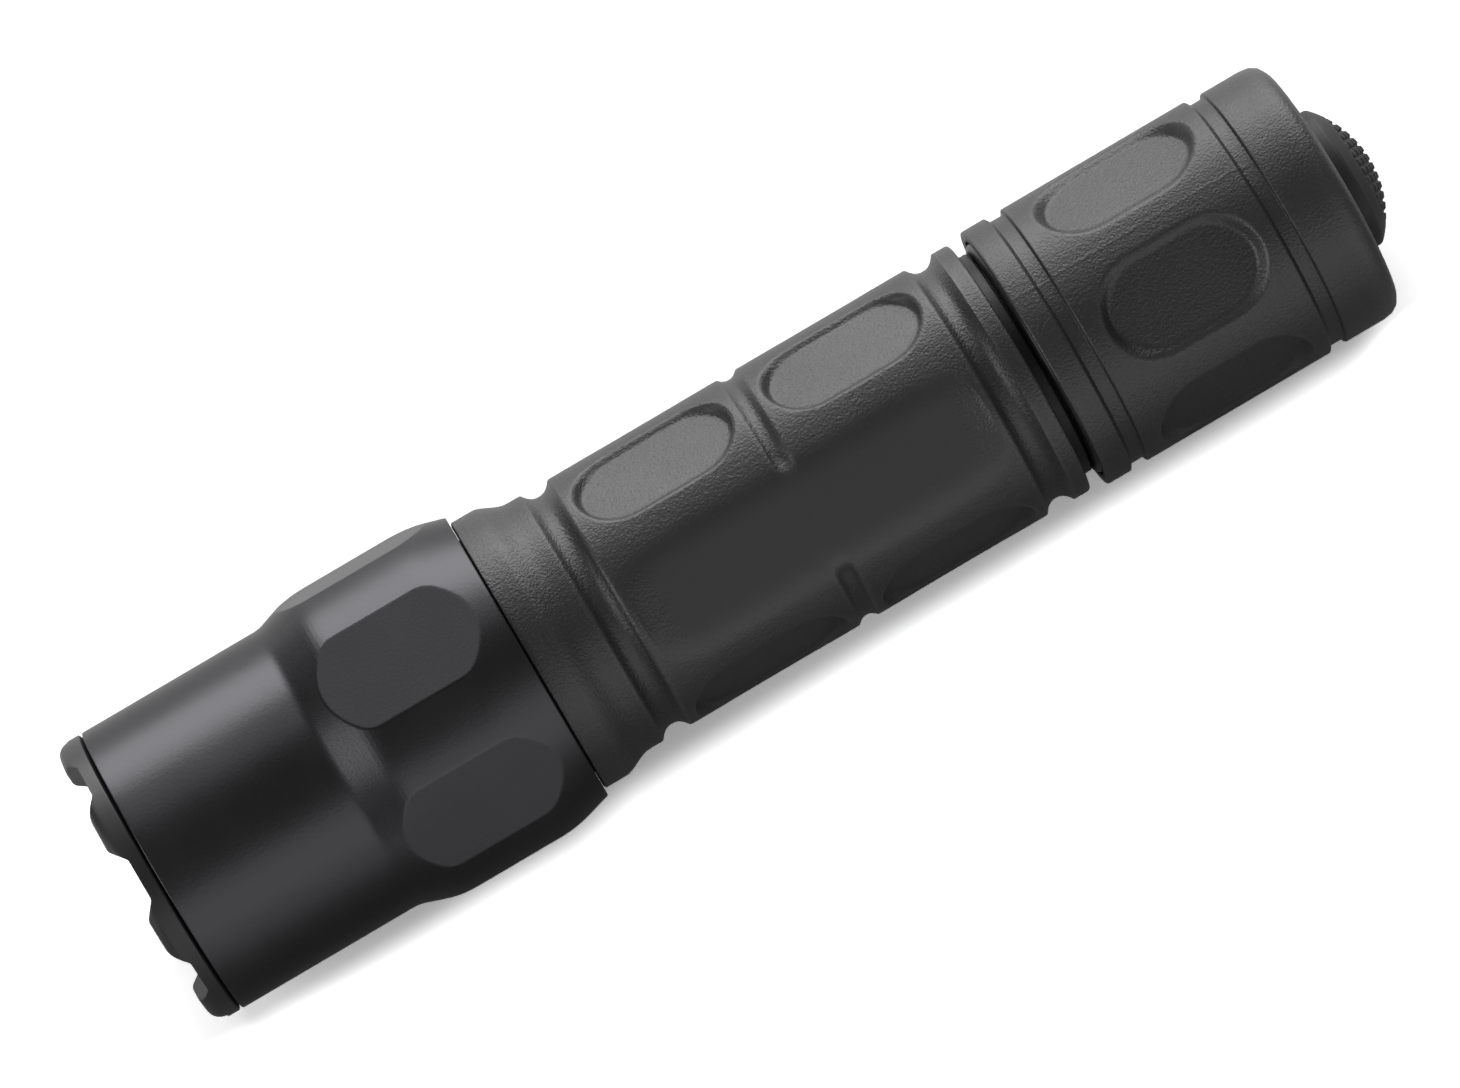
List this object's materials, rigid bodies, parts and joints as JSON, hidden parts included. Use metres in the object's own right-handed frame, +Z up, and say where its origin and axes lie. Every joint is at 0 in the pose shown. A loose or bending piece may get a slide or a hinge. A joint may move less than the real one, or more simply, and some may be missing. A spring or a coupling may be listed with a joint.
{
  "type": "tactical flashlight",
  "caption": "Handheld tactical flashlight with a crenellated bezel, a faceted metal head, a panelled grip and a screw tailcap with a push button.",
  "frame": {"origin": "midway along the light's length, straight under its axis, at the level of the lowest flat of the head", "axes": "+X along the beam, out of the bezel; +Z up through the uppermost flat of the head; +Y to the left when looking along the beam"},
  "size_m": [0.1316, 0.0322, 0.0307],
  "materials": {
    "bezel_ring": "black glass-filled nylon, satin",
    "lens": "clear coated window",
    "seal_rubber": "black nitrile, lightly greased",
    "reflector": "vapour-plated aluminium",
    "led_ceramic": "white ceramic carrier",
    "led_phosphor": "yellow phosphor under a clear dome",
    "white_plastic": "white moulded nylon",
    "circuit_board": "green solder mask",
    "steel": "stainless steel",
    "wire_red": "red silicone insulation",
    "wire_black": "black silicone insulation",
    "bare_aluminium": "turned, uncoated",
    "ferrite": "dark ferrite",
    "gold_plate": "gold-plated spring wire",
    "head_shell": "black hard-anodised, satin",
    "grip_body": "black glass-filled nylon, finely textured",
    "cell_wrap": "metal can in a plain dark sleeve",
    "tailcap_shell": "black glass-filled nylon, finely textured",
    "brass": "turned",
    "black_plastic": "black moulded plastic",
    "tail_button": "black moulded rubber with a waffle pattern"
  },
  "bodies": {
    "light": {"bezel_ring": "bezel_ring", "lens": "lens", "lens_seal": "seal_rubber", "reflector": "reflector", "led_package": "led_ceramic", "led_dome": "led_phosphor", "led_centring_ring": "white_plastic", "led_board": "circuit_board", "led_screw_upper": "steel", "led_screw_lower": "steel", "led_wire_red": "wire_red", "led_wire_black": "wire_black", "heat_sink": "bare_aluminium", "driver_board": "circuit_board", "driver_inductor": "ferrite", "front_contact_spring": "gold_plate", "head_shell": "head_shell", "head_oring": "seal_rubber", "grip_body": "grip_body", "contact_sleeve": "bare_aluminium", "front_cell": "cell_wrap", "rear_cell": "cell_wrap", "tail_oring": "seal_rubber"},
    "cap_carriage": {"cell_spring": "gold_plate"},
    "tailcap": {"tailcap_shell": "tailcap_shell", "switch_retainer": "brass", "switch_housing": "black_plastic", "spring_seat": "brass", "return_spring": "steel", "button_seal": "seal_rubber"},
    "button": {"tail_button": "tail_button", "plunger": "black_plastic", "plunger_tip": "brass"}
  },
  "joints": [
    {"name": "tailcap_advance", "type": "slide", "parent": "light", "child": "cap_carriage", "axis": [1, 0, 0], "range_m": [-0.00455, 0.00105], "deforming": ["cell_spring"]},
    {"name": "tailcap_turn", "type": "hinge", "parent": "cap_carriage", "child": "tailcap", "pos_m": [-0.02974, 0, 0.01535], "axis": [1, 0, 0], "range_deg": [-1080, 240]},
    {"name": "button_press", "type": "slide", "parent": "tailcap", "child": "button", "axis": [1, 0, 0], "range_m": [0, 0.0012], "stiffness_N_per_m": 2000, "springref_m": -0.0005, "deforming": ["return_spring"]}
  ],
  "couplings": [
    {"joint": "tailcap_advance", "follows": "tailcap_turn", "m_per_rad": 0.00023873}
  ]
}
